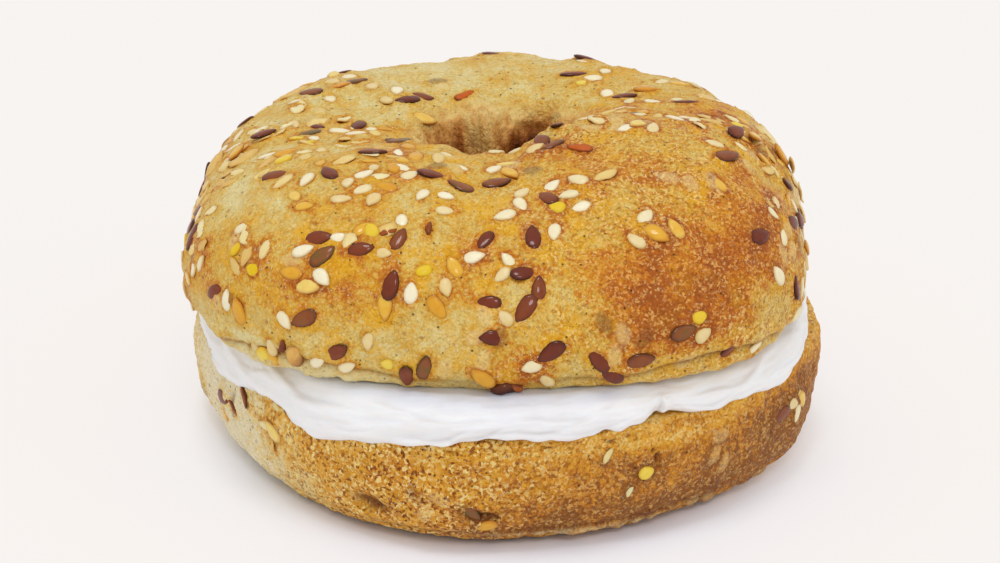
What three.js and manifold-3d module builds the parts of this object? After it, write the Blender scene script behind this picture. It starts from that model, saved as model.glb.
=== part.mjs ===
// A seeded bagel, sliced level and filled with soft cheese. Lengths are millimetres, +Z is up,
// and the origin is on the table under the middle of the bagel. A bearing is an angle round +Z, from +X.
import * as THREE from "three";
import { mergeVertices } from "three/addons/utils/BufferGeometryUtils.js";
import Module from "manifold-3d";

const wasm = await Module();
wasm.setup();

// The uneven ring's own middle, so that the bagel as a whole is centred over the origin.
const ringMiddle = { x: -0.97, y: 0.97 };

// Driving dimensions of the bottom half.
const baseRadius = 40.6;
const bottomWideRadius = 49.2;
const bottomWideHeight = 13.4;
const rimRadius = 48.5;
const rimHeight = 18.8;
const bottomHoleRadius = 8.0;
const bottomFullness = 2.5;
const footHeight = 2.6;
const footDepth = 0.45;

// Driving dimensions of the top half. Heights inside it are above its own cut face.
const cutHeight = 24.5;
const cutRadius = 46.6;
const topWideRadius = 49.6;
const topWideHeight = 5.2;
const crestRadius = 25.5;
const crestHeight = 25.1;
const shoulderFullness = 2.2;
const throatRadius = 10.0;
const throatHeight = 9.5;
const funnelFullness = 3.6;
const topHoleRadius = 8.4;
const holeMiddle = { x: -0.1, y: 3.9 };

// The fold of skin that runs round above the top half's cut edge.
const foldDepth = 0.9;
const foldWidth = 0.9;
const foldHeight = 1.2;

// The filling lies between the halves, with a thin gap to each.
const gap = 0.3;
const cheeseHoleRadius = 9.4;
const cheeseOverRim = 0.7;
const lipTuck = 1.3;
const lipSlope = 4.4;
const lipRise = 1.9;

const roundSteps = { top: 60, bottom: 56, cheese: 80 };

const TURN = Math.PI * 2;
const radians = THREE.MathUtils.degToRad;
const mix = THREE.MathUtils.lerp;
const smooth = THREE.MathUtils.smoothstep;

// Slow waves round the ring that make it uneven: how many in a turn, how much, and the bearing of a high.
const topOutline = [[1, 0.008, 127], [2, 0.012, -20], [3, 0.018, -32], [4, 0.037, 44], [6, 0.006, 27]];
const crestLine = [[1, 0.073, -39], [2, 0.019, -27], [3, 0.04, -23], [4, 0.02, -36]];
const crestRing = [[1, 0.27, 105], [2, 0.13, 19], [3, 0.07, -6]];
const bottomOutline = [[1, 0.018, -27], [2, 0.024, -53], [3, 0.011, 11], [4, 0.016, -15]];
const throatOutline = [[2, 0.09, 0], [3, 0.05, 20], [5, 0.04, 50]];

function waves(list, bearing) {
  return list.reduce((sum, [count, share, high]) => sum + share * Math.cos(count * (bearing - radians(high))), 0);
}

// A bell-shaped share, 1 at the middle bearing and fading over half a width on either side. Both in degrees.
function near(bearing, middle, halfWidth) {
  const away = THREE.MathUtils.euclideanModulo(THREE.MathUtils.radToDeg(bearing) - middle + 180, 360) - 180;
  return Math.exp(-((away / halfWidth) ** 2));
}

// A quarter of a superellipse, from (0, 0) at share 0 to (1, 1) at share 1, setting off along the first value.
function quarter(share, fullness) {
  const angle = (share * Math.PI) / 2;
  return [Math.sin(angle) ** (2 / fullness), 1 - Math.cos(angle) ** (2 / fullness)];
}

function polar(radius, bearing, z, middle = ringMiddle) {
  return new THREE.Vector3(middle.x + radius * Math.cos(bearing), middle.y + radius * Math.sin(bearing), z);
}

// Top half. Places round its section: 0 the cut edge, 1 the widest line, 2 the crest, 3 the throat of the hole,
// 4 the inner edge of the cut face, and from 4 to 5 back across that face.
function topPoint(bearing, place) {
  const outline = 1 + waves(topOutline, bearing);
  const wide = topWideRadius * outline;
  const cut = cutRadius * outline;
  const crest = crestRadius * (1 + waves(crestRing, bearing));
  const crestZ = cutHeight + crestHeight * (1 + waves(crestLine, bearing));
  const throat = throatRadius * (1 + waves(throatOutline, bearing));
  const throatZ = cutHeight + throatHeight;
  const step = place % 1;
  if (place < 1) {
    const [out, up] = quarter(step, 2);
    return polar(mix(cut, wide, out), bearing, cutHeight + topWideHeight * up);
  }
  if (place < 2) {
    const [up, inward] = quarter(step, shoulderFullness);
    return polar(mix(wide, crest, inward), bearing, mix(cutHeight + topWideHeight, crestZ, up));
  }
  if (place < 3) {
    const [inward, down] = quarter(step, funnelFullness);
    const level = mix(crestZ, throatZ, down);
    return polar(crest, bearing, level).lerp(polar(throat, bearing, level, holeMiddle), inward);
  }
  if (place < 4) return polar(mix(throat, topHoleRadius, step ** 2), bearing, mix(throatZ, cutHeight, step), holeMiddle);
  return polar(topHoleRadius, bearing, cutHeight, holeMiddle).lerp(polar(cut, bearing, cutHeight), step);
}

// Bottom half. Places: 0 the edge of the flat base, 1 the widest line, 2 the rim of the cut face, 3 that face's
// inner edge, 4 the base's inner edge, and from 4 to 5 back across the base. It can be grown all round.
function bottomPoint(bearing, place, grown = 0) {
  const outline = 1 + waves(bottomOutline, bearing);
  const [base, wide, rim] = [baseRadius, bottomWideRadius, rimRadius].map((radius) => radius * outline + grown);
  const hole = bottomHoleRadius - grown;
  const floor = -grown;
  const top = rimHeight + grown;
  const step = place % 1;
  if (place < 1) {
    const [out, up] = quarter(step, bottomFullness);
    return polar(mix(base, wide, out), bearing, mix(floor, bottomWideHeight, up));
  }
  if (place < 2) {
    const [up, inward] = quarter(step, 2);
    return polar(mix(wide, rim, inward), bearing, mix(bottomWideHeight, top, up));
  }
  if (place < 3) return polar(rim, bearing, top).lerp(polar(hole, bearing, top, holeMiddle), step);
  if (place < 4) return polar(hole, bearing, mix(top, floor, step), holeMiddle);
  return polar(hole, bearing, floor, holeMiddle).lerp(polar(base, bearing, floor), step);
}

// The laps that the knife left in the filling's edge: bearing and half width in degrees, how far each hangs down
// past the rim, and how much further than elsewhere it stands out.
const laps = [
  { at: 204, halfWidth: 11, hang: 3.4, out: 0.3 },
  { at: 219, halfWidth: 9, hang: 1.3, out: 0.2 },
  { at: 237, halfWidth: 7, hang: 3.3, out: 0.9 },
  { at: 250, halfWidth: 11, hang: 1.9, out: 0.4 },
  { at: 268, halfWidth: 9, hang: 0.4, out: 0.5 },
  { at: 283, halfWidth: 4, hang: 0.6, out: 0.4 },
  { at: 300, halfWidth: 3, hang: -1.7, out: -1.1 },
  { at: 316, halfWidth: 9, hang: 0.6, out: 0.5 },
  { at: 328, halfWidth: 7, hang: 1.4, out: 0.4 },
  { at: 352, halfWidth: 14, hang: -0.5, out: -1.9 },
  { at: 20, halfWidth: 10, hang: 1.2, out: 0.5 },
  { at: 48, halfWidth: 12, hang: 2.3, out: 0.8 },
  { at: 84, halfWidth: 10, hang: 0.2, out: -0.6 },
  { at: 110, halfWidth: 11, hang: 2.0, out: 0.7 },
  { at: 146, halfWidth: 13, hang: 0.9, out: 0.2 },
  { at: 174, halfWidth: 9, hang: -0.2, out: -0.8 },
];

// Filling. Places: 0 the lowest edge of its lip, 1 the lip's furthest reach, 2 its top edge, 3 the hole's edge on
// top, 4 the hole's edge underneath, and from 4 to 5 back across the underside.
function cheesePoint(bearing, place) {
  const lapped = (key) => laps.reduce((sum, lap) => sum + lap[key] * near(bearing, lap.at, lap.halfWidth), 0);
  const reach = rimRadius * (1 + waves(bottomOutline, bearing)) + cheeseOverRim + lapped("out");
  const low = rimHeight - lapped("hang");
  const under = rimHeight - gap;
  const top = cutHeight - gap;
  const hole = cheeseHoleRadius * (1 + waves(throatOutline, bearing));
  const step = place % 1;
  if (place < 1) {
    const [out, up] = quarter(step, 2);
    return polar(mix(reach - lipTuck, reach, out), bearing, mix(low, low + lipRise, up));
  }
  if (place < 2) {
    const [up, inward] = quarter(step, 1.8);
    return polar(mix(reach, reach - lipSlope, inward), bearing, mix(low + lipRise, top, up));
  }
  if (place < 3) return polar(reach - lipSlope, bearing, top).lerp(polar(hole, bearing, top, holeMiddle), step);
  if (place < 4) return polar(hole, bearing, mix(top, under, step), holeMiddle);
  return polar(hole, bearing, under, holeMiddle).lerp(polar(reach - lipTuck, bearing, low), step);
}

// Soft swells of the dough, in millimetres out of the surface.
function swell(bearing, place) {
  return (
    0.25 * Math.sin(5 * bearing + 2.1 * place + 0.6) * Math.sin(2.3 * place + 1.1) +
    0.2 * Math.sin(9 * bearing - 3.7 * place) +
    0.16 * Math.sin(14 * bearing + 4.9 * place + 2.2) -
    0.1
  );
}

// The top half's relief: the swells, the fold above the cut edge, and the torn wall of the hole, with a thick
// bulge of dough beside a deep cleft at the back.
function topRelief(bearing, place) {
  const height = topPoint(bearing, Math.min(place, 1)).z - cutHeight;
  const foldLevel = foldHeight + 2.1 * near(bearing, 309, 13) + 1.8 * near(bearing, 232, 13);
  const fold = Math.exp(-(((height - foldLevel) / foldWidth) ** 2)) * (1 - 0.6 * near(bearing, 60, 90));
  const wall = smooth(place, 2.25, 2.7) * (1 - smooth(place, 3.1, 3.8));
  const torn =
    2.9 * near(bearing, 104, 17) -
    3.2 * near(bearing, 66, 14) -
    near(bearing, 145, 16) +
    0.5 * Math.sin(11 * bearing + 5 * place);
  const dough = smooth(place, 0.1, 1) * (1 - smooth(place, 3, 3.9));
  return dough * swell(bearing, place) - foldDepth * fold * smooth(place, 0, 0.3) + wall * torn;
}

// The bottom half's relief: the swells, and the crease above the foot that dried against the baking tray.
function bottomRelief(bearing, place) {
  const height = bottomPoint(bearing, Math.min(place, 1)).z;
  const crease = Math.exp(-(((height - footHeight) / 0.8) ** 2)) * near(bearing, 285, 50);
  const dough = smooth(place, 0.15, 0.8) * (1 - smooth(place, 1.6, 1.95));
  return dough * swell(bearing + 2, place + 1) - footDepth * crease;
}

// A spot on a surface, its outward normal, and how many millimetres a step of bearing or of place is there.
function onSurface(point, relief, bearing, place) {
  const tiny = 1e-3;
  const spot = point(bearing, place);
  const round = point(bearing + tiny, place).sub(spot);
  const along = point(bearing, place + tiny).sub(spot);
  const normal = round.clone().cross(along).normalize();
  spot.addScaledVector(normal, relief(bearing, place));
  return { spot, normal, perBearing: round.length() / tiny, perPlace: along.length() / tiny };
}

// A closed ring-shaped solid from a function of bearing and place. Each stretch of places is from, to and steps.
function ring(pointAt, rounds, stretches) {
  const places = stretches.flatMap(([from, to, steps]) =>
    Array.from({ length: steps }, (_, i) => mix(from, to, i / steps)),
  );
  const at = (i, j) => (i % rounds) * places.length + (j % places.length);
  const position = [];
  const index = [];
  for (let i = 0; i < rounds; i++) {
    for (let j = 0; j < places.length; j++) {
      position.push(...pointAt((i / rounds) * TURN, places[j]).toArray());
      index.push(at(i, j), at(i + 1, j), at(i + 1, j + 1), at(i, j), at(i + 1, j + 1), at(i, j + 1));
    }
  }
  const geometry = new THREE.BufferGeometry();
  geometry.setAttribute("position", new THREE.Float32BufferAttribute(position, 3));
  return solidOf(geometry.setIndex(index));
}

function solidOf(geometry) {
  geometry.deleteAttribute("normal");
  geometry.deleteAttribute("uv");
  const merged = mergeVertices(geometry, 1e-4);
  return new wasm.Manifold(
    new wasm.Mesh({
      numProp: 3,
      vertProperties: new Float32Array(merged.attributes.position.array),
      triVerts: new Uint32Array(merged.index.array),
    }),
  );
}

function geometryOf(solid) {
  const mesh = solid.getMesh();
  const geometry = new THREE.BufferGeometry();
  geometry.setAttribute("position", new THREE.Float32BufferAttribute(mesh.vertProperties, 3));
  geometry.setIndex(new THREE.BufferAttribute(new Uint32Array(mesh.triVerts), 1));
  const faceted = geometry.toNonIndexed();
  faceted.computeVertexNormals();
  return faceted;
}

// Seeds: length, width and thickness, and how many in a hundred are of the kind.
const seedKinds = [
  { name: "sesame", size: [3.4, 2.1, 1.0], share: 49 },
  { name: "brown flax", size: [4.6, 2.5, 1.1], share: 27 },
  { name: "golden flax", size: [4.3, 2.4, 1.1], share: 20 },
  { name: "maize grit", size: [2.7, 2.3, 0.9], share: 4 },
];
const seedSpacing = 2.5;
const lonerSpacing = 3.9;
const clumpShare = 0.34;
const clumpReach = 3.3;
const seedSunk = 0.1;
const facetedGrowth = 1.1;
const bakedSeeds = 184;

// A repeatable draw of numbers from 0 to 1.
function dice(start) {
  let state = start;
  return () => {
    state = (Math.imul(state, 1664525) + 1013904223) >>> 0;
    return state / 2 ** 32;
  };
}

function kindOf(draw) {
  let passed = 0;
  return seedKinds.find((kind) => draw * 100 < (passed += kind.share));
}

// Scatters seeds over a surface. Some fall beside a seed that came to lie alone and the rest anywhere, alike for each
// square millimetre but for what cover(bearing, place) leaves, and none closer to another than the spacing.
function scatter({ point, relief, from, to, lowest, highest, count, start, cover }) {
  const roll = dice(start);
  const seeds = [];
  for (let tries = 0; seeds.length < count && tries < count * 100; tries++) {
    let bearing = roll() * TURN;
    let place = mix(from, to, roll());
    const loners = seeds.filter((seed) => !seed.clumped);
    const beside = loners[Math.floor(roll() * loners.length)];
    const clumped = roll() < clumpShare && loners.length > 0;
    const turn = roll() * TURN;
    const chance = roll();
    const kind = kindOf(roll());
    const spin = roll() * TURN;
    const scale = mix(0.86, 1.1, roll());
    if (clumped) {
      bearing = beside.bearing + (clumpReach * Math.cos(turn)) / beside.perBearing;
      place = beside.place + (clumpReach * Math.sin(turn)) / beside.perPlace;
    }
    if (place < from || place > to) continue;
    const seed = { kind, bearing, place, spin, scale, clumped, ...onSurface(point, relief, bearing, place) };
    const room = clumped ? 1 : (seed.perBearing * seed.perPlace) / 2200;
    if (seed.spot.z < lowest || seed.spot.z > highest || chance > room * cover(bearing, place)) continue;
    const spacing = clumped ? seedSpacing : lonerSpacing;
    if (seeds.some((other) => other.spot.distanceTo(seed.spot) < spacing)) continue;
    seeds.push(seed);
  }
  return seeds;
}

// One seed as a low-sided drop, pointed at one end, lying flat and baked into the surface.
function seedSolid({ kind, spot, normal, spin, scale }) {
  const half = kind.size.map((size) => (size * scale * facetedGrowth) / 2);
  const drop = new THREE.SphereGeometry(1, 6, 2).rotateX(Math.PI / 2);
  const corners = drop.attributes.position;
  for (let i = 0; i < corners.count; i++) {
    const taper = 1 - 0.25 * corners.getX(i);
    corners.setXYZ(i, corners.getX(i), corners.getY(i) * taper, corners.getZ(i));
  }
  const lie = new THREE.Quaternion().setFromUnitVectors(new THREE.Vector3(0, 0, 1), normal);
  lie.multiply(new THREE.Quaternion().setFromAxisAngle(new THREE.Vector3(0, 0, 1), spin));
  const middle = spot.clone().addScaledVector(normal, seedSunk);
  return solidOf(drop.applyMatrix4(new THREE.Matrix4().compose(middle, lie, new THREE.Vector3(...half))));
}

// Joins seeds to the dough and keeps its one outer body, so that no sealed hollow or loose scrap is left.
function baked(dough, seeds) {
  const pieces = wasm.Manifold.union([dough, ...seeds.map(seedSolid)]).decompose();
  return pieces.sort((one, other) => other.volume() - one.volume())[0];
}

// The toasted cheek at the front right, the back of the crown and the hole's wall hold fewer seeds.
function topCover(bearing, place) {
  const cheek = near(bearing, 307, 20) * Math.exp(-(((place - 1.2) / 0.35) ** 2));
  const front = near(bearing, 268, 14) * Math.exp(-(((place - 1.5) / 0.2) ** 2));
  const back = near(bearing, 95, 28) * smooth(place, 1.45, 1.9);
  const wall = smooth(place, 2.2, 2.5);
  return Math.max(0, 1 - 0.85 * cheek - 0.3 * front - 0.75 * back - 0.8 * wall);
}

// Only the largest of the top's seeds are baked in as solids.
function topHalf() {
  const skin = (bearing, place) => onSurface(topPoint, topRelief, bearing, place).spot;
  const dough = ring(skin, roundSteps.top, [[0, 1, 5], [1, 2, 8], [2, 3, 8], [3, 4, 3], [4, 5, 2]]);
  const seeds = scatter({
    point: topPoint,
    relief: topRelief,
    from: 0.5,
    to: 2.6,
    lowest: cutHeight + 2.2,
    highest: Infinity,
    count: 280,
    start: 23221,
    cover: topCover,
  });
  const largestFirst = seeds.sort((one, other) => other.kind.size[0] - one.kind.size[0]);
  return baked(dough, largestFirst.slice(0, bakedSeeds));
}

function bottomSkin(grown) {
  const point = (bearing, place) => bottomPoint(bearing, place, grown);
  return (bearing, place) => onSurface(point, bottomRelief, bearing, place).spot;
}

function bottomHalf() {
  const dough = ring(bottomSkin(0), roundSteps.bottom, [[0, 1, 6], [1, 2, 3], [2, 5, 3]]);
  const seeds = scatter({
    point: bottomPoint,
    relief: bottomRelief,
    from: 0.3,
    to: 1.2,
    lowest: 3,
    highest: 13.5,
    count: 20,
    start: 29651,
    cover: () => 0.6,
  });
  return baked(dough, seeds);
}

function cheese() {
  const spread = ring(cheesePoint, roundSteps.cheese, [[0, 1, 2], [1, 2, 4], [2, 5, 3]]);
  const bread = ring(bottomSkin(gap), roundSteps.bottom, [[0, 1, 1], [1, 2, 3], [2, 5, 3]]);
  return spread.subtract(bread);
}

function named(name, solid, color, roughness) {
  const mesh = new THREE.Mesh(geometryOf(solid), new THREE.MeshStandardMaterial({ color, roughness, metalness: 0 }));
  mesh.name = name;
  return mesh;
}

const bagel = new THREE.Group();
bagel.add(named("bottom_half", bottomHalf(), 0xc08a3e, 0.75));
bagel.add(named("cream_cheese", cheese(), 0xf4f1ee, 0.45));
bagel.add(named("top_half", topHalf(), 0xcf9f4c, 0.65));

export default bagel;
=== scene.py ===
"""A seeded bagel, cut level and filled with soft cheese. Lengths are millimetres, for the stage metres."""
import math

import bpy
import numpy as np
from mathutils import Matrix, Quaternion, Vector, noise


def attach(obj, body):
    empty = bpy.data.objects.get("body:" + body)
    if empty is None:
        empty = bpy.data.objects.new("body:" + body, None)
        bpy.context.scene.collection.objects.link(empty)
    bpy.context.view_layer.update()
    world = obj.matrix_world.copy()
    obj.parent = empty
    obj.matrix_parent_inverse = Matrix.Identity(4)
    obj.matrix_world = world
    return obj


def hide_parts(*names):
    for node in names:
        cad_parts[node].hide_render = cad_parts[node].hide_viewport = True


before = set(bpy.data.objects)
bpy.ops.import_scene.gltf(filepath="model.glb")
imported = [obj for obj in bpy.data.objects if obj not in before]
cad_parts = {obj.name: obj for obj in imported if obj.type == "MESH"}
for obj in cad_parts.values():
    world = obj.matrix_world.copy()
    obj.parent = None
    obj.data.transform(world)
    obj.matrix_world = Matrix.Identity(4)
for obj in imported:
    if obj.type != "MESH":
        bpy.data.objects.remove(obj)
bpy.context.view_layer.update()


# ---------------------------------------------------------------------------------------------------------
# Bottom half. The lower slice of a ring of wholemeal dough: a flat base that lay on the tray, a blunt foot
# with a dry crease that is also painted darker as shade, a grainy side that toasted at the front, painted
# darker at the right and near the foot and paler at the left partly as shade and light, and a cut face.
# ---------------------------------------------------------------------------------------------------------
MM = 0.001
TURN = 2 * math.pi
ring_middle = (-0.97, 0.97)
hole_middle = (-0.1, 3.9)

base_radius = 40.6
bottom_wide_radius = 49.2
bottom_wide_height = 13.4
rim_radius = 48.5
rim_height = 18.8
bottom_hole_radius = 8.0
bottom_fullness = 2.5
foot_height = 2.6
foot_depth = 0.45
crease_width = 0.8
crease_span = (285, 50)
ridge_height = 2.0
ridge_width = 0.32
ridge_rise = 0.95
ridge_span = (286, 18)
bottom_outline = [(1, 0.018, -27), (2, 0.024, -53), (3, 0.011, 11), (4, 0.016, -15)]
bottom_rounds = 900
bottom_stretches = [(0, 1, 60), (1, 2, 20), (2, 3, 12), (3, 4, 6), (4, 5, 8)]


def waves(terms, bearing):
    """Slow waves round the ring: how many in a turn, how much, and the bearing of a high in degrees."""
    return sum(share * np.cos(count * (bearing - math.radians(high))) for count, share, high in terms)


def bell(value, middle, half_width):
    """A bell-shaped share, 1 at the middle."""
    return np.exp(-(((value - middle) / half_width) ** 2))


def near(bearing, middle, half_width):
    """A bell-shaped share round the ring, 1 at the middle bearing. The last two are in degrees."""
    away = (np.degrees(bearing) - middle + 180) % 360 - 180
    return bell(away, 0, half_width)


def smooth(value, low, high):
    share = np.clip((value - low) / (high - low), 0, 1)
    return share * share * (3 - 2 * share)


def between(value, start, full, fading, end):
    """1 from full to fading, and 0 before the start and after the end."""
    return smooth(value, start, full) * (1 - smooth(value, fading, end))


def mix(one, other, share):
    return one + (other - one) * share


def quarter(share, fullness):
    """A quarter of a superellipse from (0, 0) to (1, 1), setting off along the first value."""
    angle = share * math.pi / 2
    return np.sin(angle) ** (2 / fullness), 1 - np.cos(angle) ** (2 / fullness)


def polar(radius, bearing, height, middle=ring_middle):
    x = middle[0] + radius * np.cos(bearing)
    y = middle[1] + radius * np.sin(bearing)
    return np.stack(np.broadcast_arrays(x, y, height), axis=-1).astype(float)


def of_stretch(place, lines):
    """Picks for each place the line of the stretch that it falls in: 0 to 1 the first, 1 to 2 the second."""
    stretch = np.minimum(np.floor(place), len(lines) - 1)[..., None]
    return np.select([stretch == i for i in range(len(lines))], lines)


def bottom_point(bearing, place):
    """Places: 0 base's edge, 1 widest line, 2 rim, 3 inner edge of the cut face, 4 inner edge of the base."""
    outline = 1 + waves(bottom_outline, bearing)
    base, wide, rim = base_radius * outline, bottom_wide_radius * outline, rim_radius * outline
    step = place % 1
    out, up = quarter(step, bottom_fullness)
    rise, inward = quarter(step, 2)
    hole = [polar(bottom_hole_radius, bearing, z, hole_middle) for z in (rim_height, 0)]
    return of_stretch(place, [
        polar(mix(base, wide, out), bearing, mix(0, bottom_wide_height, up)),
        polar(mix(wide, rim, inward), bearing, mix(bottom_wide_height, rim_height, rise)),
        mix(polar(rim, bearing, rim_height), hole[0], step[..., None]),
        mix(hole[0], hole[1], step[..., None]),
        mix(hole[1], polar(base, bearing, 0), step[..., None]),
    ])


def swell(bearing, place):
    """Soft swells of the dough."""
    return (
        0.25 * np.sin(5 * bearing + 2.1 * place + 0.6) * np.sin(2.3 * place + 1.1)
        + 0.2 * np.sin(9 * bearing - 3.7 * place)
        + 0.16 * np.sin(14 * bearing + 4.9 * place + 2.2)
        - 0.1
    )


def lumps(points, *kinds):
    """Kinds of lumps added up, each as its height, its size, how many finer sizes it has, and its shift."""
    total = 0
    for high, size, detail, shift in kinds:
        flat = points.reshape(-1, 3) / size + shift
        values = [noise.fractal(Vector(p), 1.0, 2.0, detail) for p in flat]
        total = total + high * np.array(values).reshape(points.shape[:-1])
    return total


def grains(points, size):
    """Rounded grains of about the given size packed side by side: 1 at a grain's middle, 0 between grains."""
    values = [noise.voronoi(Vector(p))[0][0] for p in points.reshape(-1, 3) / size]
    return 1 - np.clip(np.array(values) * 1.6, 0, 1).reshape(points.shape[:-1])


# Pits torn in the side: bearing, place, their half widths, and how deep. The two narrow ones near 298 are
# a crack.
pits = [
    (246.2, 0.71, 3.6, 0.07, 1.3), (248.5, 0.66, 2.4, 0.05, 0.9), (266, 0.71, 2.2, 0.05, 1.0),
    (269, 0.69, 2.0, 0.04, 0.8), (208, 0.92, 1.0, 0.1, 0.4), (297.6, 1.12, 0.4, 0.06, 0.9),
    (298.3, 1.0, 0.45, 0.07, 0.9), (278.6, 1.56, 1.1, 0.04, 0.4), (289.5, 1.52, 1.4, 0.04, 0.4),
    (293, 1.55, 0.6, 0.04, 0.4), (262, 1.46, 0.8, 0.03, 0.3),
]


# Painted shade in the pits, darkest at their middles.
def pit_shade(bearing, place):
    return sum((near(bearing, at, half_turn) * bell(place, line, half_line)) ** 2
               for at, line, half_turn, half_line, _ in pits)


def ridge_line(bearing, height):
    """A thin pale ridge of dough, squeezed out along the foot."""
    broken = 0.65 + 0.35 * np.sin(61 * bearing + 3 * np.sin(17 * bearing))
    wandering = ridge_height + 0.3 * np.sin(7 * bearing)
    return bell(height, wandering, ridge_width) * near(bearing, *ridge_span) * broken


def plain_bottom_relief(bearing, place):
    """The bottom's relief without its finest grain, as the seeds find it."""
    height = bottom_point(bearing, np.minimum(place, 1))[..., 2]
    crease = bell(height, foot_height, crease_width) * near(bearing, *crease_span)
    dough = between(place, 0.15, 0.8, 1.6, 1.95)
    return dough * swell(bearing + 2, place + 1) - foot_depth * crease


def bottom_relief(bearing, place):
    """Adds grain and pits to the side, the ridge to the foot and open crumb to the cut face."""
    spot = bottom_point(bearing, place)
    height = bottom_point(bearing, np.minimum(place, 1))[..., 2]
    side = between(place, 0, 0.25, 1.7, 2)
    grain = lumps(spot, (0.4, 9, 1, 9), (0.22, 4, 2, 0), (0.2, 1.4, 3, 0)) + 0.12 * grains(spot, 1.2)
    ridge = ridge_line(bearing, height) * (place < 1) * (ridge_rise + lumps(spot, (0.25, 2, 2, 4)))
    pit = sum(deep * near(bearing, at, half_turn) * bell(place, line, half_line)
              for at, line, half_turn, half_line, deep in pits)
    crumb = between(place, 1.95, 2.1, 3.9, 4)
    return (
        plain_bottom_relief(bearing, place) + side * grain + ridge - pit * (place < 1.6)
        + crumb * lumps(spot, (0.25, 1.8, 2, 7))
    )


def on_surface(point, relief, bearing, place):
    """Points on a surface with its relief, outward normals, and millimetres a step of bearing or place."""
    tiny = 1e-3
    spot = point(bearing, place)
    around = point(bearing + tiny, place) - spot
    along = point(bearing, place + tiny) - spot
    normal = np.cross(around, along)
    normal /= np.linalg.norm(normal, axis=-1, keepdims=True)
    spread = np.linalg.norm(around, axis=-1) / tiny, np.linalg.norm(along, axis=-1) / tiny
    return spot + normal * relief(bearing, place)[..., None], normal, spread


def section_places(point, stretches):
    """Places round a section, spaced evenly in millimetres inside each stretch of from, to and steps."""
    places = []
    for start, end, steps in stretches:
        fine = np.linspace(start, end, 900, endpoint=False)
        line = point(np.full_like(fine, 0.7), fine)
        run = np.concatenate([[0], np.cumsum(np.linalg.norm(np.diff(line, axis=0), axis=1))])
        places.append(np.interp(np.arange(steps) / steps * run[-1], run, fine))
    return np.concatenate(places)


def ring_grid(point, rounds, stretches):
    bearings = np.arange(rounds) / rounds * TURN
    return np.meshgrid(bearings, section_places(point, stretches), indexing="ij")


def ring_piece(name, points, shades, material):
    """A closed ring of four-sided faces through a grid of points, with named shades kept on its points."""
    rounds, steps = points.shape[:2]
    i, j = np.meshgrid(np.arange(rounds), np.arange(steps), indexing="ij")
    ahead, beyond = (i + 1) % rounds, (j + 1) % steps
    faces = np.stack([i * steps + j, ahead * steps + j, ahead * steps + beyond, i * steps + beyond], axis=-1)
    mesh = bpy.data.meshes.new(name)
    mesh.from_pydata((points.reshape(-1, 3) * MM).tolist(), [], faces.reshape(-1, 4).tolist())
    for shade, values in shades.items():
        layer = mesh.attributes.new(shade, "FLOAT", "POINT")
        layer.data.foreach_set("value", np.ravel(values).astype(np.float32))
    mesh.shade_smooth()
    mesh.materials.append(material)
    piece = bpy.data.objects.new(name, mesh)
    bpy.context.scene.collection.objects.link(piece)
    return piece


def colour(red, green, blue):
    """A colour given as seen, 0 to 255, as the linear values that a shader takes."""
    parts = [part / 255 for part in (red, green, blue)]
    return (*[p / 12.92 if p <= 0.04045 else ((p + 0.055) / 1.055) ** 2.4 for p in parts], 1.0)


def fill(tree, sockets, values):
    """Sets or links a node's inputs by name or number. A value may be another node's output."""
    for name, value in values.items():
        if isinstance(value, bpy.types.NodeSocket):
            tree.links.new(value, sockets[name])
        else:
            sockets[name].default_value = value


def add(tree, kind, inputs=None, **settings):
    """Adds a node to a tree, with its settings and its inputs."""
    made = tree.nodes.new(kind)
    for name, value in settings.items():
        setattr(made, name, value)
    fill(tree, made.inputs, inputs or {})
    return made


def maths(tree, operation, *values):
    return add(tree, "ShaderNodeMath", dict(enumerate(values)), operation=operation).outputs[0]


def vector_maths(tree, operation, inputs):
    return add(tree, "ShaderNodeVectorMath", inputs, operation=operation).outputs[0]


def share_of(tree, value, share):
    return maths(tree, "MULTIPLY", value, share)


def sum_of(tree, base, terms):
    """base plus each (value, share, middle): share times how far the value is from the middle."""
    total = base
    for value, share, middle in terms:
        total = maths(tree, "MULTIPLY_ADD", maths(tree, "SUBTRACT", value, middle), share, total)
    return total


def stretched(tree, value, low, high, to_low=0.0, to_high=1.0):
    """The value's run from low to high, stretched to another run and held at its ends."""
    return add(tree, "ShaderNodeMapRange", {
        "Value": value, "From Min": low, "From Max": high, "To Min": to_low, "To Max": to_high,
    }).outputs[0]


def ramp(tree, factor, stops):
    """Colours blended along a factor. A stop is where it lies and its colour as seen."""
    made = add(tree, "ShaderNodeValToRGB", {"Fac": factor})
    made.color_ramp.elements.remove(made.color_ramp.elements[1])
    for i, (at, shade) in enumerate(stops):
        stop = made.color_ramp.elements[0] if i == 0 else made.color_ramp.elements.new(at)
        stop.position = at
        stop.color = colour(*shade)
    return made.outputs["Color"]


def layer_over(tree, under, over, share):
    return add(tree, "ShaderNodeMix", {0: share, 6: under, 7: over}, data_type="RGBA").outputs[2]


def fine_noise(tree, place, size, detail, shift):
    """Noise from 0 to 1 with lumps of about the given size, finer with more detail. A shift sets it apart."""
    return add(tree, "ShaderNodeTexNoise", {
        "Vector": place, "Scale": 1 / (size * MM), "Detail": detail, "W": shift,
    }, noise_dimensions="4D").outputs["Fac"]


def cells(tree, place, size):
    return add(tree, "ShaderNodeTexVoronoi", {"Vector": place, "Scale": 1 / (size * MM)}).outputs


def specks(tree, place, spacing, radius, shift):
    """1 inside small round specks, strewn loosely through the dough, where the surface cuts them."""
    moved = vector_maths(tree, "ADD", {0: place, 1: (shift, shift, shift)})
    return stretched(tree, cells(tree, moved, spacing)["Distance"], radius / spacing, 0.6 * radius / spacing)


def kept_shade(tree, name):
    """One of the shades that a mesh keeps on its points."""
    return add(tree, "ShaderNodeAttribute", attribute_name=name).outputs["Fac"]


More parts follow.
